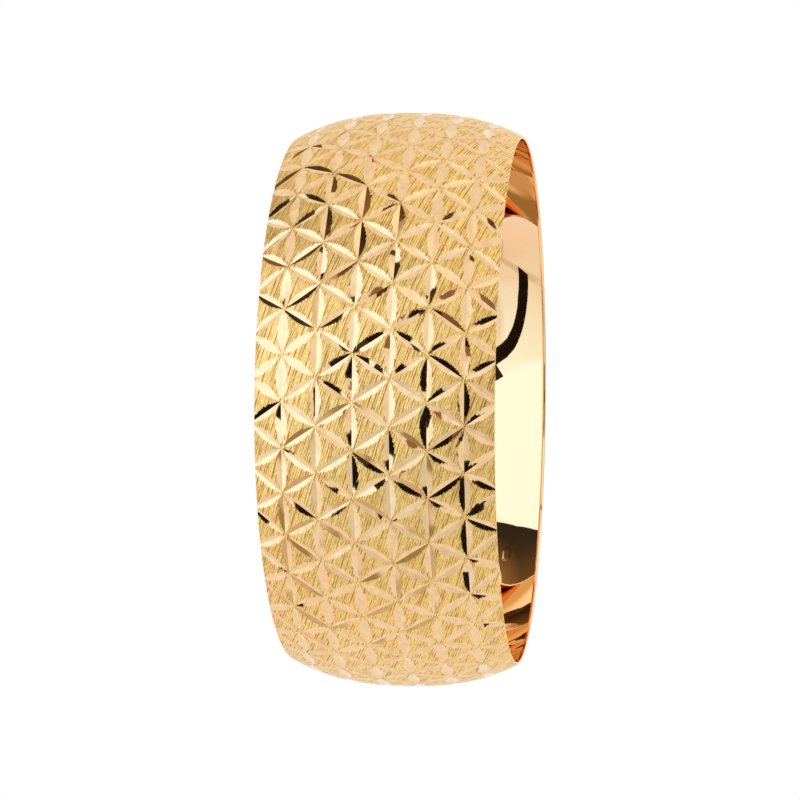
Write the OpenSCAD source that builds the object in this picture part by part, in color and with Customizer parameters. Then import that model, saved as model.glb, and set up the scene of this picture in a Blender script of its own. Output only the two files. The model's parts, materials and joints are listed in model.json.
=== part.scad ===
// Wide domed bangle bracelet, lying flat with its axis along +Z.
// It is built of two sheets, one inside the other, and two fine wires: a domed outer
// shell that carries the engraving, a dished and polished liner that backs it, and at
// each rim an edge ring that covers the liner's end and gives the rim its bevelled lip.
// The origin is at the centre of the bangle. Lengths are in millimetres.

/* [Bangle] */
// Diameter of the opening, across the lands of the edge rings
opening_d = 63.5; // [54:0.1:70]
// Width of the band, from rim face to rim face
band_w = 27.2; // [20:0.2:36]
// Whole wall at a rim, from the opening to the outside
rim_wall = 0.3; // [0.3:0.05:0.8]
// How far the middle of the band stands out beyond its rims
crown = 2.9; // [2.8:0.1:4]
// Fullness of the dome: 2 is a parabola, more is flatter in the middle
fullness = 2.5; // [2:0.1:3.5]

/* [Liner] */
// Wall of the liner, along the radius; the outer shell is the rest of the wall
liner_t = 0.12; // [0.1:0.01:0.15]
// How deep the liner is dished, from its ends to its middle
dish = 2.75; // [2.5:0.05:2.75]

/* [Edge rings] */
// Height of a ring, from the liner's end to the rim face
lip_h = 0.28; // [0.2:0.02:0.6]
// Bevel between a ring's flat face and its land, along the axis and along the radius
bevel = 0.08; // [0.04:0.02:0.08]

/* [Punch mark] */
// Length of the blank punch mark in the liner, round the band
mark_l = 2.2; // [1:0.1:3]
// Width of the punch mark
mark_w = 1.2; // [0.6:0.1:1.5]
// Depth of the punch mark
mark_depth = 0.06; // [0.04:0.01:0.08]
// Height of the punch mark above the middle of the band
mark_z = 9.1; // [4:0.1:10]
// Turn of the punch mark about the axis, from +X towards +Y
mark_turn = 53; // [0:1:359]

/* [Hidden] */

bands = 48;                      // straight steps that the liner's curve is made of
half_w = band_w / 2;
opening_r = opening_d / 2;
rim_r = opening_r + rim_wall;
liner_half = half_w - lip_h;     // half the liner's length
step = 2 * liner_half / bands;
clear = 1;                       // how far cutting shapes stand out past what they cut
gold_cut = "#D9AE4E";
gold_polished = "#E8C36A";
gold_edge = "#C8963A";

// A curve that rises from 0 at height +-reach to rise at the middle of the band
function swell(z, reach, rise) = rise * (1 - pow(min(1, abs(z) / reach), fullness));

function shell_out(z) = rim_r + swell(z, half_w, crown);
function liner_in(z) = opening_r + swell(z, liner_half, dish);
function liner_out(z) = liner_in(z) + liner_t;

// Heights of the ends of the liner's steps, from its lower end to its upper end
levels = [for (k = [0:bands]) -liner_half + k * step];

// Slope of the liner at height z, in degrees from the axis
function liner_slope(z) =
    atan(dish * fullness / liner_half * pow(abs(z) / liner_half, fullness - 1));

// Section of a sheet between two curves, with its corners at the given heights
module sheet_section(heights, inner, outer) {
    polygon(concat(
        [for (z = heights) [inner(z), z]],
        [for (k = [len(heights) - 1:-1:0]) [outer(heights[k]), heights[k]]]
    ));
}

// Rounded slot, centred on the origin and lying along Y
module slot(length, width) {
    square([width, length - width], center = true);
    for (side = [-1, 1])
        translate([0, side * (length - width) / 2])
            circle(d = width, $fn = 48);
}

// The shell lies on the liner, and beyond the liner's ends on the edge rings
module outer_shell() {
    color(gold_cut)
        rotate_extrude($fn = 240)
            sheet_section(concat([-half_w], levels, [half_w]),
                          function(z) liner_out(z), function(z) shell_out(z));
}

module inner_liner() {
    color(gold_polished)
        difference() {
            rotate_extrude($fn = 240)
                sheet_section(levels, function(z) liner_in(z), function(z) liner_out(z));
            punch_mark();
        }
}

// Blank slot sunk into the polished side of the liner, square to its surface there
module punch_mark() {
    rotate([0, 0, mark_turn])
        translate([liner_in(mark_z), 0, mark_z])
            rotate([0, 90 - liner_slope(mark_z), 0])
                translate([0, 0, -clear])
                    linear_extrude(clear + mark_depth)
                        slot(mark_l, mark_w);
}

// Ring at the rim on the +Z side, as thick as the liner: flat face, bevel and land
module edge_ring() {
    color(gold_edge)
        rotate_extrude($fn = 240)
            polygon([
                [opening_r + liner_t, half_w],
                [opening_r + bevel, half_w],
                [opening_r, half_w - bevel],
                [opening_r, liner_half],
                [opening_r + liner_t, liner_half]
            ]);
}

module upper_edge_ring() {
    edge_ring();
}

module lower_edge_ring() {
    mirror([0, 0, 1])
        edge_ring();
}

outer_shell();
inner_liner();
upper_edge_ring();
lower_edge_ring();
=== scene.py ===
"""Looks of a wide domed gold bangle: diamond-cut petals on a satin, line-cut ground outside,
a mirror-polished dished liner inside, and a bevelled ring at each rim.

Lengths are in millimetres until a mesh is made. A point of the band's outside is given by q, its
distance along the curve of the band from the middle, and w, its distance round the band on the
largest circle. The engraving is a height over that sheet: the lower of the line-cut ground and
the V-shaped petal cuts. The sheet is triangulated along every line of the pattern."""

import json
import math

import bpy
import numpy as np
from mathutils import Matrix, Vector
from mathutils.geometry import delaunay_2d_cdt


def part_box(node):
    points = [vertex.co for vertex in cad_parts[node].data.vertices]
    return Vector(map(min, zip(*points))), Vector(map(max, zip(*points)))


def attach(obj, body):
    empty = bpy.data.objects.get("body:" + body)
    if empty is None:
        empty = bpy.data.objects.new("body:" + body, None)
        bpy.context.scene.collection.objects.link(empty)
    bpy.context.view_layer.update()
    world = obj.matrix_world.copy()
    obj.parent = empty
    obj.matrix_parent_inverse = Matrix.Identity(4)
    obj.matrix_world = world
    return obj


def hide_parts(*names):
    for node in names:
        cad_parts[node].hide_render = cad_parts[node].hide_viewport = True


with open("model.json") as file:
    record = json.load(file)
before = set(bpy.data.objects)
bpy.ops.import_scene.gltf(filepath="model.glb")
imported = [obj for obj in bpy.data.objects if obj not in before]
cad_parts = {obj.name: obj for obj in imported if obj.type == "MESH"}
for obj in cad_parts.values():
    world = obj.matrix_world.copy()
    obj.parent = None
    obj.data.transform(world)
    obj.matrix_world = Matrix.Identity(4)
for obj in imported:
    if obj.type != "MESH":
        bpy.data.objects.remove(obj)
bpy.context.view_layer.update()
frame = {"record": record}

MM = 0.001
CM = 10                             # millimetres
FULL_TURN = 2 * math.pi
rng = np.random.default_rng(22)

# ---------------------------------------------------------------- sizes of the band
MOUNTS = {mount["name"]: mount for mount in frame["record"]["mounts"]}
SHELL_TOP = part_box("outer_shell")[1] / MM
LINER_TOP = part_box("inner_liner")[1] / MM

BORE_R = MOUNTS["wrist_bore"]["dims"]["r_mm"]
HALF_W = SHELL_TOP.z                # half the width of the band
MID_R = SHELL_TOP.x                 # outer radius in the middle of the band
RIM_WALL = 0.3                      # whole wall at a rim
LINER_T = 0.12                      # wall of the liner and of the edge rings, along the radius
BEVEL = 0.08                        # bevel of an edge ring
FULLNESS = 2.5                      # power of the dome's curve
RIM_R = BORE_R + RIM_WALL
CROWN = MID_R - RIM_R
LINER_HALF = LINER_TOP.z
DISH = LINER_TOP.x - LINER_T - BORE_R

# where an edge ring's land isn't as plain as in the CAD
LAND_FLARE = 0.016                  # how far the land opens out towards the bevel
LAND_LAP = 0.15                     # how far it laps over the liner's end
LAND_BEND = 0.03                    # how far past the liner's end it starts to open out

# ---------------------------------------------------------------- the engraving
REPEATS = 40                        # petal stars round the band
ROW = FULL_TURN * MID_R / REPEATS   # distance between stars, along w
COLUMN = 4.184                      # distance between columns of stars, along q
COLUMNS = 8                         # the outermost columns lie just past the rims
START_W = 0.384                     # start of the pattern, along w
PETAL_BOW = 0.0295                  # the cutting wheel's curve along a petal, 1 / mm
ROUND_CUT = (0.209, 14.9)           # petals round the band: depth, and slope of their facets
SLANT_CUT = (0.187, 15.3)           # slanting petals
CUT_SPREAD = (0.007, 0.35, 0.35)    # spread of their depth, of their slope, and of their tilt
CUT_LIMIT = 2                       # no cut is further out than this many spreads
PETAL_REACH = 3.0                   # more than half the length of any petal
PETAL_HALF = 2.5                    # about half the length of a petal
PETAL_SIDE = 1.0                    # more than half the width of any petal

LEAN = math.radians(18)             # the ground's lines lean this far from the circumference
LINE_PITCH = 0.276                  # from one groove of the ground to the next
GROOVE = (0.026, 0.066)             # least and greatest depth of a groove
RIDGE = (0.0, 0.006)                # least and greatest wear of a ridge
LINE_JITTER = 0.3                   # how far a line strays, as a share of the step between lines

# ---------------------------------------------------------------- fineness of the meshes
LINE_STEP = 1.2                     # longest straight stretch of a line
SHORTEST_LINE = 0.01                # shorter stretches of a line are left out
SHORTEST_CUT = 0.02                 # and so are shorter cuts through a line
TIP_GAP = 0.01                      # no point of a petal's outline is nearer to its tip
EDGE_SPARE = 0.15                   # how far lines run on past the edges of the sheet
CUT_STEPS = 9                       # stretches along the valley of a petal
TABLE_STEPS = 4000                  # of the table that turns q into height
MERGE = 2e-5                        # points of the sheet that are nearer are one
ON_EDGE = 1e-4                      # points of the sheet that are nearer to its edge lie on it
SEAM_STEPS = 24                     # steps of the surface between the shell and the liner
SHELL_SIDES = 240
LINER_STEPS = 60
LINER_SIDES = 400
RING_SIDES = 360
CORNER_POINTS = 5                   # points round a rounded corner

# ---------------------------------------------------------------- the punch mark
MARK_Z = 9.1                        # height above the middle of the band
MARK_TURN = math.radians(53)        # about the axis, from +X towards +Y
MARK_L = 2.2                        # round the band
MARK_W = 1.2                        # along the axis
MARK_DEPTH = 0.02                   # shallower than in the CAD, since it hardly shows
MARK_SLOPE = 0.3                    # width of its slanting wall
MARK_MESH_L = (1.35, 36)            # finer mesh round the band: to each side, and its steps
MARK_MESH_W = (0.78, 26)            # the same along the axis


# ================================================================ curves of the band
def swell(z, reach, rise):
    """A curve that rises from 0 at height +-reach to rise at the middle of the band."""
    return rise * (1 - np.minimum(1, np.abs(z) / reach) ** FULLNESS)


def shell_out(z):
    return RIM_R + swell(z, HALF_W, CROWN)


def liner_in(z):
    return BORE_R + swell(z, LINER_HALF, DISH)


def shell_in(z):
    """The shell lies on the liner, and beyond the liner's ends on the edge rings."""
    return liner_in(z) + LINER_T


def shell_slope(z):
    """Change of the shell's outer radius with height."""
    return -np.sign(z) * CROWN * FULLNESS / HALF_W * (np.abs(z) / HALF_W) ** (FULLNESS - 1)


def liner_slope(z):
    """Steepness of the liner's inside at height z."""
    return DISH * FULLNESS / LINER_HALF * (abs(z) / LINER_HALF) ** (FULLNESS - 1)


def even_turns(sides):
    return np.arange(sides) / sides * FULL_TURN


Z_TABLE = np.linspace(-HALF_W, HALF_W, TABLE_STEPS + 1)
ARC = np.hypot(np.diff(Z_TABLE), np.diff(shell_out(Z_TABLE))).cumsum()
Q_TABLE = np.concatenate([[0], ARC]) - ARC[-1] / 2
Q_HALF = Q_TABLE[-1]
W_ROUND = ROW * REPEATS
SEAM_LEVELS = np.linspace(-LINER_HALF, LINER_HALF, SEAM_STEPS + 1)


# ================================================================ pattern
def petal_list():
    """Rows of (q, w, direction q, direction w, depth, slope on one side, slope on the other,
    tilt along it), one for each petal, with two repeats to spare at both ends."""
    reach = math.hypot(COLUMN, ROW / 2)
    spreads = rng.normal(size=(COLUMNS, REPEATS, 3, 3))   # three petals start at each star
    spreads = spreads.clip(-CUT_LIMIT, CUT_LIMIT) * CUT_SPREAD
    rows = []
    for j in range(COLUMNS):
        q = (j - (COLUMNS - 1) / 2) * COLUMN
        for k in range(-2, REPEATS + 2):
            w = START_W + (k + 0.5 * (j % 2 == 0)) * ROW
            kinds = []
            if 0 < j < COLUMNS - 1:
                kinds.append((ROUND_CUT, 0, ROW / 2, 0, 1))
            if j < COLUMNS - 1:
                for up in (1, -1):
                    kinds.append((SLANT_CUT, COLUMN / 2, up * ROW / 4,
                                  COLUMN / reach, up * ROW / 2 / reach))
            for n, ((deep, slope), dq, dw, along_q, along_w) in enumerate(kinds):
                more, lean, tilt = spreads[j, k % REPEATS, n]
                rows.append((q + dq, w + dw, along_q, along_w, deep + more,
                             math.tan(math.radians(slope + lean)),
                             math.tan(math.radians(slope - lean)), math.radians(tilt)))
    return np.array(rows)


PERIOD = W_ROUND * math.sin(LEAN)   # the lines close on themselves round the band
LINES = 2 * round(PERIOD / LINE_PITCH)   # ridges, and the grooves between them
ACROSS = np.array([math.cos(LEAN), math.sin(LEAN)])
ALONG = np.array([math.sin(LEAN), -math.cos(LEAN)])
LINE_AT = (np.arange(LINES) + rng.uniform(-LINE_JITTER, LINE_JITTER, LINES)) * PERIOD / LINES
LINE_H = np.where(np.arange(LINES) % 2, -rng.uniform(*GROOVE, LINES), -rng.uniform(*RIDGE, LINES))
PETALS = petal_list()


def ground(q, w):
    """Height of the line-cut ground."""
    return np.interp(q * ACROSS[0] + w * ACROSS[1], LINE_AT, LINE_H, period=PERIOD)


def petal_cut(q, w):
    """(height, petal, t) of the deepest petal cut at each point: t is the place across it."""
    best = np.full(len(q), np.inf)
    which = np.zeros(len(q), int)
    t_best = np.zeros(len(q))
    order = np.argsort(w)
    w_sorted = w[order]
    for i, (pq, pw, dq, dw, deep, slope_1, slope_2, tilt) in enumerate(PETALS):
        first, last = np.searchsorted(w_sorted, (pw - PETAL_REACH, pw + PETAL_REACH))
        near = order[first:last]
        near = near[np.abs(q[near] - pq) < PETAL_REACH]
        s = (q[near] - pq) * dq + (w[near] - pw) * dw
        t = (w[near] - pw) * dq - (q[near] - pq) * dw
        h = PETAL_BOW * s * s + tilt * s + np.maximum(t * slope_1, -t * slope_2) - deep
        deeper = h < best[near]
        near = near[deeper]
        best[near] = h[deeper]
        which[near] = i
        t_best[near] = t[deeper]
    return best, which, t_best


def line_place(k):
    """Distance across the lines of line k, counted on past the start."""
    return LINE_AT[k % LINES] + PERIOD * (k // LINES)


def crossing(petal, k):
    """The stretch of line k that the petal cuts away, or None. It is where both facets lie
    under the line: two parabolas, whose stretches are cut with each other."""
    pq, pw, dq, dw, deep, slope_1, slope_2, tilt = petal
    foot = line_place(k) * ACROSS - (pq, pw)
    s0, ds = foot[0] * dq + foot[1] * dw, ALONG[0] * dq + ALONG[1] * dw
    t0, dt = foot[1] * dq - foot[0] * dw, ALONG[1] * dq - ALONG[0] * dw
    low, high = -np.inf, np.inf
    for slope in (slope_1, -slope_2):
        a = PETAL_BOW * ds * ds
        b = 2 * PETAL_BOW * s0 * ds + tilt * ds + slope * dt
        c = (PETAL_BOW * s0 + tilt) * s0 + slope * t0 - deep - LINE_H[k % LINES]
        under = b * b - 4 * a * c
        if under <= 0:
            return None
        root = math.sqrt(under)
        low = max(low, (-b - root) / (2 * a))
        high = min(high, (-b + root) / (2 * a))
    if high - low < SHORTEST_CUT:
        return None
    return [(x, s0 + x * ds, t0 + x * dt) for x in (low, high)]


class Sheet:
    """The points and edges that the band's outside is triangulated along."""

    def __init__(self):
        self.points = []
        self.edges = []

    def point(self, q, w):
        self.points.append((q, w))
        return len(self.points) - 1

    def chain(self, ids):
        self.edges += list(zip(ids, ids[1:]))


def petal_tip(petal, way):
    """How far along the petal its valley comes up to the ground, on one side of its middle. The
    ground's height is the one at the last guess, so a few rounds bring it home."""
    centre, along, deep, tilt = petal[:2], petal[2:4], petal[4], petal[7]
    middle = -tilt / (2 * PETAL_BOW)
    s = middle + way * PETAL_HALF
    for _ in range(4):
        under = deep + PETAL_BOW * middle**2 + float(ground(*(centre + s * along)))
        s = middle + way * math.sqrt(under / PETAL_BOW)
    return s


def draw_petals(sheet):
    """Adds each petal's two outlines and its valley. Returns, for each line, what petals cut
    out of it, as (from, to, point, point)."""
    cut_out = {}
    for petal in PETALS:
        centre, along = petal[:2], petal[2:4]
        reach = abs(along @ ACROSS) * PETAL_REACH + PETAL_SIDE
        at = centre @ ACROSS
        first, last = (int(math.floor((at + e) / PERIOD * LINES)) for e in (-reach, reach))
        sides = {1: [], -1: []}
        for k in range(first, last + 2):
            ends = crossing(petal, k)
            if ends is None:
                continue
            ids = []
            for x, s, t in ends:
                q, w = line_place(k) * ACROSS + x * ALONG
                ids.append(sheet.point(q, w))
                sides[1 if t > 0 else -1].append((s, ids[-1]))
            cut_out.setdefault(k, []).append((ends[0][0], ends[1][0], *ids))
        tips = [petal_tip(petal, way) for way in (-1, 1)]
        tip_ids = [sheet.point(*(centre + s * along)) for s in tips]
        for side in sides.values():
            inner = [i for s, i in sorted(side) if tips[0] + TIP_GAP < s < tips[1] - TIP_GAP]
            sheet.chain([tip_ids[0], *inner, tip_ids[1]])
        valley = np.linspace(*tips, CUT_STEPS + 1)[1:-1]
        sheet.chain([tip_ids[0], *(sheet.point(*(centre + s * along)) for s in valley), tip_ids[1]])
    return cut_out


def draw_ground(sheet, cut_out):
    """Adds what the petals leave of each ridge and groove line of the ground."""
    q_end = Q_HALF + EDGE_SPARE
    span = q_end * ACROSS[0]
    first = int(math.floor((-span - EDGE_SPARE) / PERIOD * LINES))
    last = int(math.ceil((span + PERIOD + EDGE_SPARE) / PERIOD * LINES))
    for k in range(first, last + 1):
        q0, w0 = line_place(k) * ACROSS
        low = max((-q_end - q0) / ALONG[0], (W_ROUND + EDGE_SPARE - w0) / ALONG[1])
        high = min((q_end - q0) / ALONG[0], (-EDGE_SPARE - w0) / ALONG[1])
        if high - low < EDGE_SPARE:
            continue
        at, at_id = low, None
        gaps = sorted(g for g in cut_out.get(k, []) if g[1] > low and g[0] < high)
        for start, end, start_id, end_id in [*gaps, (high, high, None, None)]:
            if start - at > SHORTEST_LINE:
                steps = max(1, math.ceil((start - at) / LINE_STEP))
                ids = [sheet.point(q0 + x * ALONG[0], w0 + x * ALONG[1])
                       for x in np.linspace(at, start, steps + 1)[1:-1]]
                if at_id is None:
                    at_id = sheet.point(q0 + at * ALONG[0], w0 + at * ALONG[1])
                if start_id is None:
                    start_id = sheet.point(q0 + start * ALONG[0], w0 + start * ALONG[1])
                sheet.chain([at_id, *ids, start_id])
            if end > at:
                at, at_id = end, end_id


def engraved_sheet():
    """Points (q, w) and triangles of the band's outside, and for each point the one that stands
    for it when the sheet is closed on itself along w."""
    sheet = Sheet()
    draw_ground(sheet, draw_petals(sheet))
    corners = [sheet.point(q, w) for q, w in ((-Q_HALF, 0), (Q_HALF, 0),
                                              (Q_HALF, W_ROUND), (-Q_HALF, W_ROUND))]
    sheet.chain([*corners, corners[0]])
    made = delaunay_2d_cdt([Vector(p) for p in sheet.points], sheet.edges, [], 0, MERGE, False)
    points = np.array([tuple(p) for p in made[0]])
    faces = np.array([f for f in made[2] if len(f) == 3])
    middle = points[faces].mean(1)
    kept = (np.abs(middle[:, 0]) < Q_HALF) & (middle[:, 1] > 0) & (middle[:, 1] < W_ROUND)
    faces = faces[kept]
    # both ends of the sheet hold the same points, in the same order along q
    used = np.unique(faces)
    start = used[np.abs(points[used, 1]) < ON_EDGE]
    start = start[np.argsort(points[start, 0])]
    end = used[np.abs(points[used, 1] - W_ROUND) < ON_EDGE]
    end = end[np.argsort(points[end, 0])]
    assert len(start) == len(end), "the sheet's two ends don't match"
    closed = np.arange(len(points))
    closed[end] = start
    return points, faces, closed


# ================================================================ meshes
def on_band(q, w, h):
    """Points over the band's outside, in millimetres. The height goes along the radius."""
    z = np.interp(q, Q_TABLE, Z_TABLE)
    r = shell_out(z) + h * np.hypot(1, shell_slope(z))
    turn = w / MID_R
    return np.stack([r * np.cos(turn), r * np.sin(turn), z], -1)


def facing(q, w, slope_q, slope_w):
    """Normals over the band's outside, for a height with those slopes along q and w."""
    z = np.interp(q, Q_TABLE, Z_TABLE)
    m = shell_slope(z)
    turn = w / MID_R
    out = np.stack([np.cos(turn), np.sin(turn), np.zeros_like(turn)], -1)
    round_ = np.stack([-np.sin(turn), np.cos(turn), np.zeros_like(turn)], -1)
    up = np.array([0, 0, 1.0])
    length = np.hypot(1, m)[..., None]
    normal = (out - m[..., None] * up) / length
    along = (up + m[..., None] * out) / length
    normal = normal - slope_q[..., None] * along
    normal = normal - (slope_w * MID_R / shell_out(z))[..., None] * round_
    return normal / np.linalg.norm(normal, axis=-1, keepdims=True)


def zip_rings(a, a_turn, b, b_turn):
    """Triangles between two closed rings of points, each sorted by its turn."""
    faces = []
    i = j = 0
    while i < len(a) or j < len(b):
        next_a = a_turn[i + 1] if i + 1 < len(a) else a_turn[0] + FULL_TURN
        next_b = b_turn[j + 1] if j + 1 < len(b) else b_turn[0] + FULL_TURN
        if j >= len(b) or (i < len(a) and next_a <= next_b):
            faces.append((a[i % len(a)], a[(i + 1) % len(a)], b[j % len(b)]))
            i += 1
        else:
            faces.append((a[i % len(a)], b[(j + 1) % len(b)], b[j % len(b)]))
            j += 1
    return faces


def add_object(name, data):
    piece = bpy.data.objects.new(name, data)
    bpy.context.collection.objects.link(piece)
    return piece


def make_piece(name, points, faces, materials, node):
    """A smooth piece of the bangle from points in millimetres, in place of its CAD node."""
    mesh = bpy.data.meshes.new(name)
    mesh.from_pydata((np.asarray(points) * MM).tolist(), [], [tuple(map(int, f)) for f in faces])
    for material in materials:
        mesh.materials.append(material)
    mesh.polygons.foreach_set("use_smooth", np.ones(len(faces), bool))
    piece = add_object(name, mesh)
    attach(piece, "root")
    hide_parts(node)
    return piece


def band_uv(mesh):
    """A UV map that holds w and q in centimetres, for the materials' grain. All of the mesh's
    faces are triangles."""
    co = np.empty(len(mesh.vertices) * 3)
    mesh.vertices.foreach_get("co", co)
    at = np.empty(len(mesh.loops), int)
    mesh.loops.foreach_get("vertex_index", at)
    x, y, z = (co.reshape(-1, 3) / MM)[at].T
    turn = np.arctan2(y, x).reshape(-1, 3) / FULL_TURN % 1
    wraps = turn.max(1) - turn.min(1) > 0.5
    turn[wraps[:, None] & (turn < 0.5)] += 1
    uv = mesh.uv_layers.new(name="Band")
    q = np.interp(z, Z_TABLE, Q_TABLE)
    uv.data.foreach_set("uv", np.stack([turn.ravel() * W_ROUND / CM, q / CM], -1).ravel())


def engraving_normals(points, faces):
    """Normals at each triangle's corners, and whether it lies in a petal. Each facet and each
    side of a groove turns smoothly along itself, and is sharp at its edges."""
    middle = points[faces].mean(1)
    cut, which, t = petal_cut(*middle.T)
    in_petal = cut < ground(*middle.T)
    q, w = points[faces, 0], points[faces, 1]
    pq, pw, dq, dw, _, slope_1, slope_2, tilt = PETALS[which].T[:, :, None]
    s = (q - pq) * dq + (w - pw) * dw
    down = 2 * PETAL_BOW * s + tilt
    side = np.where(t[:, None] > 0, slope_1, -slope_2)
    places = np.concatenate([LINE_AT - PERIOD, LINE_AT, LINE_AT + PERIOD])
    heights = np.tile(LINE_H, 3)
    at = np.searchsorted(places, (middle @ ACROSS) % PERIOD) - 1
    rise = ((heights[at + 1] - heights[at]) / (places[at + 1] - places[at]))[:, None]
    pick = in_petal[:, None]
    slope_q = np.where(pick, down * dq - side * dw, rise * ACROSS[0])
    slope_w = np.where(pick, down * dw + side * dq, rise * ACROSS[1])
    return facing(q, w, slope_q, slope_w), in_petal


def ring_points(r, turns, z):
    """A level ring about the axis."""
    return np.stack([r * np.cos(turns), r * np.sin(turns), np.full(len(turns), z)], -1)


def inward(points):
    """Normals of the shell's inside, which runs almost along its outside."""
    r = np.hypot(points[:, 0], points[:, 1])
    ways = np.stack([-points[:, 0] / r, -points[:, 1] / r, shell_slope(points[:, 2])], -1)
    return ways / np.linalg.norm(ways, axis=1, keepdims=True)


def close_shell(points, rims):
    """Adds the flat rims and the inside to the points of the band's outside. rims holds, for
    the lower and the upper rim, the numbers of its outer points and their turns. Returns the
    points, the new triangles and the normals at their corners."""
    around = even_turns(SHELL_SIDES)
    rings = len(points) + np.arange(len(SEAM_LEVELS) * SHELL_SIDES).reshape(-1, SHELL_SIDES)
    points = np.concatenate([points, *(ring_points(shell_in(z), around, z) for z in SEAM_LEVELS)])
    flat = {-1: [], 1: []}
    inside = []
    for (way, faces), (edge, turns), ring in zip(flat.items(), rims, (rings[0], rings[-1])):
        lip = len(points) + np.arange(len(edge))
        points = np.concatenate([points, ring_points(shell_in(HALF_W), turns, way * HALF_W)])
        for i in range(len(edge)):
            j = (i + 1) % len(edge)
            faces += [(edge[i], edge[j], lip[j])[::way], (edge[i], lip[j], lip[i])[::way]]
        inside += [face[::way] for face in zip_rings(lip, turns, ring, around)]
    for lower, upper in zip(rings, rings[1:]):
        for i in range(SHELL_SIDES):
            j = (i + 1) % SHELL_SIDES
            inside += [(lower[i], upper[j], lower[j]), (lower[i], upper[i], upper[j])]
    normals = [np.full((len(faces) * 3, 3), (0, 0, way)) for way, faces in flat.items()]
    normals.append(inward(points[np.array(inside).ravel()]))
    return points, np.array(flat[-1] + flat[1] + inside), np.concatenate(normals)


def make_outer_shell(materials):
    points, faces, closed = engraved_sheet()
    q, w = points.T
    normals, in_petal = engraving_normals(points, faces)
    outside = closed[faces]
    whole = np.array([len(set(face)) == 3 for face in outside.tolist()])
    in_petal = in_petal[whole]
    outside = outside[whole][:, ::-1]   # q and w make a left-handed pair on the band
    normals = normals[whole][:, ::-1]

    used = np.unique(outside)
    rims = []
    for way in (-1, 1):
        edge = used[np.abs(q[used] - way * Q_HALF) < ON_EDGE]
        edge = edge[np.argsort(w[edge])]
        rims.append((edge, w[edge] / MID_R))
    height = np.minimum(ground(q, w), petal_cut(q, w)[0])
    verts, rest, rest_normals = close_shell(on_band(q, w, height), rims)

    used, faces = np.unique(np.concatenate([outside, rest]), return_inverse=True)
    faces = faces.reshape(-1, 3)
    piece = make_piece("outer_shell_engraved", verts[used], faces, materials, "outer_shell")
    slots = np.zeros(len(faces), int)
    slots[:len(in_petal)] = in_petal
    # depth of the ground's grooves, which its material turns into painted shade in the grooves and
    # painted highlights on the ridges
    depth = np.zeros(len(verts))
    depth[:len(q)] = -ground(q, w) / GROOVE[1]
    mesh = piece.data
    mesh.polygons.foreach_set("material_index", slots)
    mesh.attributes.new("groove", "FLOAT", "POINT").data.foreach_set("value", depth[used])
    band_uv(mesh)
    corner_normals = np.concatenate([normals.reshape(-1, 3), rest_normals])
    mesh.normals_split_custom_set(corner_normals.tolist())


def revolve(name, section, turns, material, node, sharp, sink=None):
    """A closed section of (radius, height) points turned about the axis. Edges that bend by more
    than sharp degrees stay sharp. sink moves a point away from the axis by its section number,
    height and turn."""
    n = len(section)
    verts = []
    for turn in turns:
        for i, (r, z) in enumerate(section):
            out = r + (sink(i, z, turn) if sink else 0)
            verts.append((out * math.cos(turn), out * math.sin(turn), z))
    faces = []
    for a in range(len(turns)):
        b = (a + 1) % len(turns)
        for i in range(n):
            j = (i + 1) % n
            faces.append((a * n + i, b * n + i, b * n + j, a * n + j))
    area = sum(p[0] * q[1] - q[0] * p[1] for p, q in zip(section, [*section[1:], section[0]]))
    if area > 0:
        faces = [f[::-1] for f in faces]
    piece = make_piece(name, verts, faces, [material], node)
    piece.data.set_sharp_from_angle(angle=math.radians(sharp))


def mark_sink(z, turn):
    """Depth of the punch mark at a place on the liner."""
    x = (turn - MARK_TURN) * liner_in(MARK_Z)
    y = (z - MARK_Z) / math.cos(math.atan(liner_slope(MARK_Z)))
    past_straight = max(0, abs(x) - (MARK_L - MARK_W) / 2)
    inside = (MARK_W / 2 - math.hypot(past_straight, y)) / MARK_SLOPE
    return MARK_DEPTH * min(1, max(0, inside))


def finer(reach, steps):
    """Even steps from one side of the punch mark to the other."""
    return np.linspace(-reach, reach, steps + 1)


def make_liner(material):
    """The dished sheet, with a finer mesh where the punch mark is."""
    even_z = np.linspace(-LINER_HALF, LINER_HALF, LINER_STEPS + 1)
    heights = np.unique(np.concatenate([even_z, MARK_Z + finer(*MARK_MESH_W)]))
    inside = [(float(liner_in(z)), z) for z in heights]
    outside = [(float(shell_in(z)), z) for z in SEAM_LEVELS[::-1]]
    mark_turns = MARK_TURN + finer(*MARK_MESH_L) / float(liner_in(MARK_Z))
    turns = np.unique(np.concatenate([even_turns(LINER_SIDES), mark_turns]))
    revolve("inner_liner_polished", inside + outside, turns, material, "inner_liner",
            sharp=40,
            sink=lambda i, z, turn: mark_sink(z, turn) if i < len(inside) else 0)


def rounded(corners):
    """A closed outline from corners of (x, y, r), each rounded over the distance r."""
    out = []
    points = np.array([corner[:2] for corner in corners])
    for i, (p, r) in enumerate(zip(points, [corner[2] for corner in corners])):
        if r == 0:
            out.append(tuple(p))
            continue
        before, after = points[i - 1], points[(i + 1) % len(points)]
        start = p + (before - p) / np.linalg.norm(before - p) * r
        end = p + (after - p) / np.linalg.norm(after - p) * r
        for f in np.linspace(0, 1, CORNER_POINTS):
            out.append(tuple((1 - f) ** 2 * start + 2 * f * (1 - f) * p + f * f * end))
    return out


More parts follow.
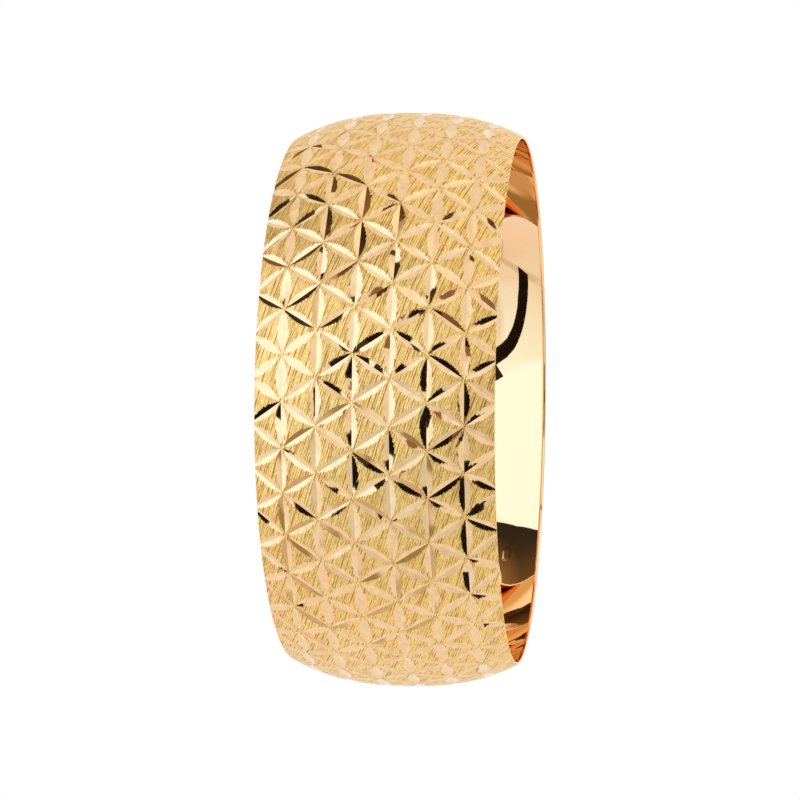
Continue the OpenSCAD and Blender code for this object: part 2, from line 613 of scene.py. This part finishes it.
def make_edge_ring(name, node, way, material):
    """Flat face, bevel and land, as thick as the liner. The land opens out a little towards the
    bevel, and its other end laps over the liner as a thin tail."""
    tail = LINER_HALF - LAND_LAP
    corners = (
        (BORE_R + LINER_T, HALF_W, 0),
        (BORE_R + BEVEL, HALF_W, 0.03),
        (BORE_R + LAND_FLARE, HALF_W - BEVEL, 0.04),
        (BORE_R, LINER_HALF + LAND_BEND, 0.06),
        (BORE_R, tail, 0.02),
        (liner_in(tail), tail, 0),
        (BORE_R, LINER_HALF, 0),
        (BORE_R + LINER_T, LINER_HALF, 0),
    )
    section = [(float(r), way * float(z)) for r, z in rounded(corners)]
    revolve(name, section, even_turns(RING_SIDES), material, node, sharp=35)


# ================================================================ materials
GOLD = (0.945, 0.632, 0.334)            # diamond-cut facets
BUFFED_GOLD = (0.945, 0.648, 0.36)
SATIN_DEEP = (0.88, 0.44, 0.106)        # the ground, between these two by its grain
SATIN_PALE = (1.0, 0.79, 0.282)
# painted highlight on the ground's ridges
RIDGE_HIGHLIGHT_GOLD = (1.0, 0.805, 0.33)
# painted shade deep in the ground's grooves
GROOVE_SHADE_GOLD = (0.475, 0.222, 0.041)
COLOUR_A, COLOUR_B, COLOUR_OUT = 6, 7, 2   # a Mix node's colour sockets


class Nodes:
    """Short names for building a material's nodes."""

    def __init__(self, name):
        self.material = bpy.data.materials.new(name)
        self.material.use_nodes = True
        self.tree = self.material.node_tree
        self.tree.nodes.clear()

    def add(self, kind, inputs=None, **settings):
        node = self.tree.nodes.new(kind)
        for key, value in settings.items():
            setattr(node, key, value)
        for key, value in (inputs or {}).items():
            if isinstance(value, bpy.types.NodeSocket):
                self.tree.links.new(value, node.inputs[key])
            else:
                node.inputs[key].default_value = value
        return node

    def finish(self, shader):
        self.add("ShaderNodeOutputMaterial", {"Surface": shader})
        return self.material


def stretched_noise(n, scale, stretch, turn, detail):
    """Noise of so many grains to the centimetre across, each drawn out by the factor stretch
    along the band, and turned from there."""
    uv = n.add("ShaderNodeUVMap", uv_map="Band")
    place = n.add("ShaderNodeMapping", {"Vector": uv.outputs["UV"], "Rotation": (0, 0, turn)})
    squeeze = n.add("ShaderNodeMapping", {"Vector": place.outputs["Vector"],
                                          "Scale": (scale / stretch, scale, 1)})
    return n.add("ShaderNodeTexNoise", {"Vector": squeeze.outputs["Vector"], "Scale": 1.0,
                                        "Detail": detail, "Roughness": 0.6}).outputs["Fac"]


def spread(n, fac, low, high, to_low=0.0, to_high=1.0, kind="LINEAR"):
    """The stretch from low to high, spread over another."""
    return n.add("ShaderNodeMapRange", {"Value": fac, "From Min": low, "From Max": high,
                                        "To Min": to_low, "To Max": to_high},
                 interpolation_type=kind).outputs["Result"]


def blend(n, share, first, second):
    """A colour between two, each of them plain or another node's output."""
    a, b = (c if isinstance(c, bpy.types.NodeSocket) else (*c, 1) for c in (first, second))
    return n.add("ShaderNodeMix", {"Factor": share, COLOUR_A: a, COLOUR_B: b},
                 data_type="RGBA").outputs[COLOUR_OUT]


def times(share, colour):
    return tuple(share * c for c in colour)


def metal(n, colour, rough, height, strength, distance):
    """A finished metal, from its colour, its roughness and the height of its bumps."""
    bump = n.add("ShaderNodeBump", {"Height": height, "Strength": strength, "Distance": distance})
    shader = n.add("ShaderNodeBsdfPrincipled", {"Base Color": colour, "Metallic": 1.0,
                                                "Roughness": rough,
                                                "Normal": bump.outputs["Normal"]})
    return n.finish(shader.outputs["BSDF"])


def satin_gold():
    """Line-cut ground: painted shade deep in the grooves, painted highlights on the ridges, fine
    scratches along both.
    """
    n = Nodes("gold_line_cut_ground")
    grain = stretched_noise(n, 60, 3, LEAN, 4)
    streak = stretched_noise(n, 45, 7, LEAN, 3)
    patches = stretched_noise(n, 9, 1.5, LEAN, 2)
    groove = n.add("ShaderNodeAttribute", attribute_name="groove").outputs["Fac"]
    uneven = spread(n, streak, 0.3, 0.7, -0.45, 0.35)
    # how deep a point lies, broken up by streaks: it places the painted highlights and the painted
    # shade
    painted_light_mask = n.add("ShaderNodeMath", {0: groove, 1: uneven}, operation="ADD").outputs["Value"]
    colour = blend(n, spread(n, grain, 0.37, 0.63), SATIN_DEEP, SATIN_PALE)
    # painted highlight where the ridges stand highest
    colour = blend(n, spread(n, painted_light_mask, 0.14, -0.18, kind="SMOOTHSTEP"), colour, RIDGE_HIGHLIGHT_GOLD)
    # painted shade deep in the grooves
    colour = blend(n, spread(n, painted_light_mask, 0.3, 0.85, kind="SMOOTHSTEP"), colour, GROOVE_SHADE_GOLD)
    rough = spread(n, patches, 0.3, 0.7, 0.34, 0.46)
    return metal(n, colour, rough, grain, 0.6, 0.00003)


def facet_gold():
    """Diamond-cut facets: bright, softly mottled, with the cutter's drag lines and a waver."""
    n = Nodes("gold_diamond_cut")
    grain = stretched_noise(n, 60, 4, 0, 3)
    waver = stretched_noise(n, 9, 2, 0, 2)
    mottle = stretched_noise(n, 11, 1.5, 0, 2)
    drag = spread(n, grain, 0.25, 0.75)
    dull = blend(n, drag, times(0.87, GOLD), times(0.92, GOLD))
    bright = blend(n, drag, times(0.99, GOLD), times(1.04, GOLD))
    colour = blend(n, spread(n, mottle, 0.34, 0.6), dull, bright)
    rough = spread(n, grain, 0.3, 0.7, 0.02, 0.055)
    return metal(n, colour, rough, waver, 0.25, 0.00002)


def polished_gold(name, rough_low, rough_high, wave):
    """Buffed gold, with a fine haze and a very faint ripple."""
    n = Nodes(name)
    co = n.add("ShaderNodeTexCoord").outputs["Object"]
    ripple = n.add("ShaderNodeTexNoise", {"Vector": co, "Scale": 130.0, "Detail": 1.0})
    haze = n.add("ShaderNodeTexNoise", {"Vector": co, "Scale": 900.0, "Detail": 3.0}).outputs["Fac"]
    colour = blend(n, spread(n, haze, 0.3, 0.7), times(0.98, BUFFED_GOLD), BUFFED_GOLD)
    rough = spread(n, haze, 0.35, 0.7, rough_low, rough_high)
    return metal(n, colour, rough, ripple.outputs["Fac"], wave, 0.0002)


# ================================================================ stage
VIEW_ELEVATION = math.radians(7.66)   # the camera looks a little into the upper rim
VIEW_ROLL = math.radians(0.59)
VIEW_DISTANCE = 365.65
FOCAL = 134.3
SENSOR = 36
AIM_LEFT = 1.467                      # the camera's aim passes this far to the left of the centre
AIM_DOWN = 0.069                      # and this far below it
WORLD_LIGHT = 0.95
FLOOR_HALF = 40.0                     # metres, so that the floor's edge is out of sight

FORWARD = Vector((0, math.cos(VIEW_ELEVATION), -math.sin(VIEW_ELEVATION)))
AXIS_SIDE = Vector((0, math.sin(VIEW_ELEVATION), math.cos(VIEW_ELEVATION)))
RIGHT = math.cos(VIEW_ROLL) * AXIS_SIDE + math.sin(VIEW_ROLL) * Vector((-1, 0, 0))
UP = RIGHT.cross(FORWARD)


def make_camera():
    """The bangle's axis lies across the picture, so the camera is rolled a quarter turn."""
    eye = -FORWARD * VIEW_DISTANCE
    aim = -RIGHT * AIM_LEFT - UP * AIM_DOWN
    ahead = (aim - eye).normalized()
    right = ahead.cross(UP).normalized()
    up = right.cross(ahead)
    data = bpy.data.cameras.new("camera")
    data.lens = FOCAL
    data.sensor_width = SENSOR
    data.clip_start = 0.01
    data.clip_end = 100
    camera = add_object("camera", data)
    turn = Matrix((right, up, -ahead)).transposed()
    camera.matrix_world = Matrix.Translation(eye * MM) @ turn.to_4x4()
    bpy.context.scene.camera = camera


def glow(name, colour):
    n = Nodes(name)
    light = n.add("ShaderNodeEmission", {"Color": (*colour, 1)})
    return n.finish(light.outputs["Emission"])


def card_light():
    """Light of a studio card, from the colour at its points. Its alpha fades the card's edges."""
    n = Nodes("studio_card")
    paint = n.add("ShaderNodeAttribute", attribute_name="light")
    light = n.add("ShaderNodeEmission", {"Color": paint.outputs["Color"]})
    clear = n.add("ShaderNodeBsdfTransparent")
    mix = n.add("ShaderNodeMixShader", {0: paint.outputs["Alpha"], 1: clear.outputs["BSDF"],
                                        2: light.outputs["Emission"]})
    return n.finish(mix.outputs["Shader"])


def card(name, corners, colours, distance, soft=0.0, steps=12):
    """A studio card, hung round the bangle at a distance in metres. Its four corners are
    (right, up) in degrees from the camera's place, as seen from the bangle, where right and up
    are the picture's own. It has one colour, or one for each corner, and its edges fade over
    the share soft. Where cards overlap, the nearer one hides the other."""
    corners = np.array(corners, float)
    colours = np.array(colours, float)
    if colours.ndim == 1:
        colours = np.tile(colours, (4, 1))
    across = np.unique(np.concatenate([np.linspace(0, 1, steps + 1), [soft, 1 - soft]]))
    verts = []
    paint = []
    for u in across:
        for v in across:
            parts = np.array([(1 - u) * (1 - v), u * (1 - v), u * v, (1 - u) * v])
            side, rise = np.radians(parts @ corners)
            way = math.cos(rise) * (math.sin(side) * RIGHT - math.cos(side) * FORWARD)
            verts.append((way + math.sin(rise) * UP) * distance)
            fade = min(1, min(u, 1 - u, v, 1 - v) / soft) if soft else 1
            paint.append((*(parts @ colours), fade * fade * (3 - 2 * fade)))
    faces = []
    row = len(across)
    for i in range(row - 1):
        for j in range(row - 1):
            a = i * row + j
            faces.append((a, a + 1, a + row + 1, a + row))
    mesh = bpy.data.meshes.new(name)
    mesh.from_pydata([tuple(v) for v in verts], [], faces)
    light = mesh.color_attributes.new(name="light", type="FLOAT_COLOR", domain="POINT")
    light.data.foreach_set("color", np.array(paint).ravel())
    mesh.materials.append(bpy.data.materials.get("studio_card") or card_light())
    piece = add_object(name, mesh)
    piece.visible_camera = False
    piece.visible_shadow = False


def strip(name, path, width, colour, distance, soft=0.0):
    """A long narrow card, such as a stand's leg or a cable, along a path of (right, up)."""
    path = np.array(path, float)
    ways = np.diff(path, axis=0)
    ways /= np.linalg.norm(ways, axis=1, keepdims=True)
    mitres = np.concatenate([ways[:1], ways[:-1] + ways[1:], ways[-1:]])
    mitres /= np.linalg.norm(mitres, axis=1, keepdims=True)
    longer = 1 / (mitres * np.concatenate([ways[:1], ways])).sum(1, keepdims=True)
    off = width / 2 * longer * np.stack([-mitres[:, 1], mitres[:, 0]], -1)
    for n in range(len(ways)):
        corners = (path[n] - off[n], path[n + 1] - off[n + 1],
                   path[n + 1] + off[n + 1], path[n] + off[n])
        card(f"{name}_{n}", corners, colour, distance, soft, steps=4)


def patchwork(name, rows, distance):
    """A card from rows of points, each (right, up) and its colour."""
    for i, (low, high) in enumerate(zip(rows, rows[1:])):
        for j in range(len(low) - 1):
            points = (low[j], low[j + 1], high[j + 1], high[j])
            card(f"{name}_{i}_{j}", [p[:2] for p in points], [p[2:] for p in points], distance)


# Everything that the gold mirrors. Places are (right, up), as in card().
BLACK = (0.012, 0.009, 0.007)
BROWN = (0.30, 0.17, 0.11)

# name, corners, one colour or one for each corner, distance, soft
WIDE_CARDS = (
    ("softbox_glow", ((-104, -40), (-8, -24), (-6, 52), (-108, 48)), (1.15, 1.3, 1.5), 1.5, 0.22),
    ("softbox", ((-98, -24), (-23, -13), (-23, 52), (-100, 55)), (1.38, 1.52, 1.9), 1.48, 0.1),
    ("cool_wall", ((-12, 16), (40, 16), (40, 48), (-12, 48)), (1.03, 1.16, 1.32), 1.46, 0.2),
    ("table_front", ((-34, -54), (48, -54), (46, -11), (-30, -14)), (0.79, 0.83, 0.88), 1.44, 0.15),
    ("table_below", ((-70, -88), (120, -88), (90, -50), (-60, -50)), (0.93, 0.97, 1.06), 1.45, 0.25),
    ("ceiling_right", ((-8, 50), (80, 46), (90, 84), (-20, 84)), (1.22, 1.18, 1.12), 1.47, 0.3),
    ("table_shade", ((-50, -54), (-8, -37), (-6, -23), (-40, -32)), (0.38, 0.31, 0.18), 1.42, 0.22),
    ("table_far", ((-92, -75), (-14, -75), (-30, -42), (-84, -60)), (0.68, 0.59, 0.48), 1.43, 0.12),
    ("wall_shade", ((-24, 24), (-4, 24), (-3, 45), (-27, 43)), (0.82, 0.74, 0.58), 1.43, 0.35),
    ("rig_fade", ((-95, 58), (-48, 55), (-48, 62), (-95, 66)), (0.5, 0.4, 0.3), 1.45, 0.3),
    ("wall_low", ((-84, -42), (-50, -50), (-36, -12), (-72, -12)),
     ((0.98, 0.93, 0.93), (0.98, 1.06, 1.22), (1.06, 1.42, 1.75), (1.05, 1.3, 1.4)), 1.46, 0.12),
    ("table_left", ((-125, -70), (-66, -70), (-60, -54), (-125, -38)),
     ((1.02, 1.0, 1.15), (1.0, 0.92, 0.9), (0.9, 0.82, 0.78), (1.03, 0.94, 1.0)), 1.455, 0.1),
    ("far_softbox", ((122, -30), (168, -30), (168, 44), (122, 44)), (1.25, 1.28, 1.35), 1.5, 0.3),
    ("side_flag", ((68, -24), (104, -24), (104, 24), (68, 24)), (0.30, 0.27, 0.24), 1.5, 0.15),
)

# the boom over the softbox, black below and brown where it meets the ceiling
RIG = 1.4                           # its distance
RIG_ROWS = (
    ((-124, 42, 0.14, 0.08, 0.04), (-91, 41.1, 0.028, 0.027, 0.028), (-72, 46.2, 0.03, 0.026, 0.022),
     (-54, 49.2, 0.035, 0.028, 0.022), (-38, 49, 0.04, 0.03, 0.022), (-24, 44.4, 0.05, 0.035, 0.022)),
    ((-124, 53, 0.18, 0.10, 0.045), (-91, 53, 0.06, 0.042, 0.025), (-72, 53, 0.04, 0.03, 0.022),
     (-54, 54, 0.035, 0.028, 0.022), (-40, 53, 0.035, 0.028, 0.022), (-26, 49, 0.05, 0.035, 0.022)),
    ((-124, 62, 0.34, 0.19, 0.09), (-91, 62, 0.26, 0.15, 0.07), (-72, 61.5, 0.14, 0.09, 0.05),
     (-54, 59, 0.10, 0.07, 0.045), (-44, 57, 0.10, 0.065, 0.045), (-32, 53, 0.10, 0.065, 0.045)),
)
RIG_BAR = ((-46, 51), (-30, 49), (-14, 48), (0, 51), (14, 49), (30, 47), (44, 45))
TABLE_EDGE = ((-54, -63.8), (-90, -33))

# the small dark things near the bangle: first name, corners, colour; then name, path, width
NEAR = 1.2                          # their distance
GEAR = (
    ("lens", ((-7, -6), (1, -5), (1, 4), (-7, 4)), BLACK),
    ("lens_top", ((-6, 9), (4, 9), (3, 13), (-5.5, 13)), BLACK),
    ("lens_low", ((-6, -17), (1, -17), (1, -5), (-6.5, -6)), BLACK),
    ("grip", ((-5, 4), (6, 4), (6, 9), (-5, 9)), (0.22, 0.13, 0.08)),
    ("body", ((1, -5), (9, -4.5), (9, 1), (1, 1)), (0.05, 0.045, 0.04)),
    ("knob", ((6, 1), (10.5, 1), (10.5, 7.5), (6.5, 7.5)), BLACK),
    ("hand", ((-5, 13), (4, 13), (3, 16.5), (-4, 16.5)), BROWN),
    ("finger", ((8.5, 8.5), (12, 8.5), (11, 11.5), (8.5, 11.5)), BROWN),
    ("arm_left", ((-21, -3), (-10, -5), (-10, 4), (-19, 2)), BLACK),
    ("hand_right", ((14, 11), (31, 11), (31, 17), (14, 15)), BROWN),
    ("hook", ((-33, -15), (-36, -14.5), (-40.4, -9.3), (-33, -6.8)), (0.03, 0.02, 0.015)),
)
STANDS = (
    ("stand", ((30.5, 11), (30.5, 2), (31, -10), (33, -23)), 4.0),
    ("brace", ((8, -5), (11, -9), (14, -13), (22, -16), (33, -21)), 4.0),
    ("cable", ((-77.5, -45.5), (-71, -40.8), (-65, -36), (-59.3, -30.9), (-53.7, -26),
               (-48, -22.2), (-42.8, -19.8), (-37, -17.8), (-31, -15.5), (-24, -12.5)), 6.3),
    ("cable_end", ((-17, -15.5), (-10, -11)), 4.0),
    ("leg", ((48, 6), (47, -8), (48.5, -17)), 6.0),
    ("leg_low", ((47.5, -17), (56, -24), (63, -35.5), (75, -46), (89, -51)), 4.2),
)


def make_room():
    """Even white light from everywhere, and a white floor at the lower rim. The floor only
    shows: it sends no light to the bangle, which has cards below it for that."""
    world = bpy.data.worlds.new("studio")
    bpy.context.scene.world = world
    world.use_nodes = True
    background = world.node_tree.nodes["Background"].inputs
    background["Color"].default_value = (1, 1, 1, 1)
    background["Strength"].default_value = WORLD_LIGHT

    mesh = bpy.data.meshes.new("floor")
    corners = ((-1, -1), (1, -1), (1, 1), (-1, 1))
    mesh.from_pydata([(x * FLOOR_HALF, y * FLOOR_HALF, -HALF_W * MM) for x, y in corners],
                     [], [(0, 1, 2, 3)])
    mesh.materials.append(glow("white_table", (1, 1, 1)))
    floor = add_object("floor", mesh)
    floor.visible_glossy = False
    floor.visible_diffuse = False


def make_studio():
    """The cards and dark things that the gold mirrors."""
    for name, corners, colours, distance, soft in WIDE_CARDS:
        card(name, corners, colours, distance, soft)
    patchwork("rig", RIG_ROWS, RIG)
    strip("rig_bar", RIG_BAR, 2.2, (0.08, 0.055, 0.03), RIG)
    strip("table_edge", TABLE_EDGE, 5.0, (0.76, 0.68, 0.63), 1.45, 0.35)
    for name, corners, colour in GEAR:
        card(name, corners, colour, NEAR)
    for name, path, width in STANDS:
        strip(name, path, width, BLACK, NEAR)


# ================================================================ build
make_camera()
make_room()
make_studio()
make_outer_shell([satin_gold(), facet_gold()])
make_liner(polished_gold("gold_mirror", 0.015, 0.035, 0.02))
edge_gold = polished_gold("gold_edge_ring", 0.05, 0.09, 0.03)
for side, way in (("upper", 1), ("lower", -1)):
    make_edge_ring(f"{side}_edge_ring_bevelled", f"{side}_edge_ring", way, edge_gold)

bpy.context.scene.view_settings.view_transform = "Standard"
bpy.context.scene.cycles.glossy_bounces = 12   # the liner mirrors itself many times over
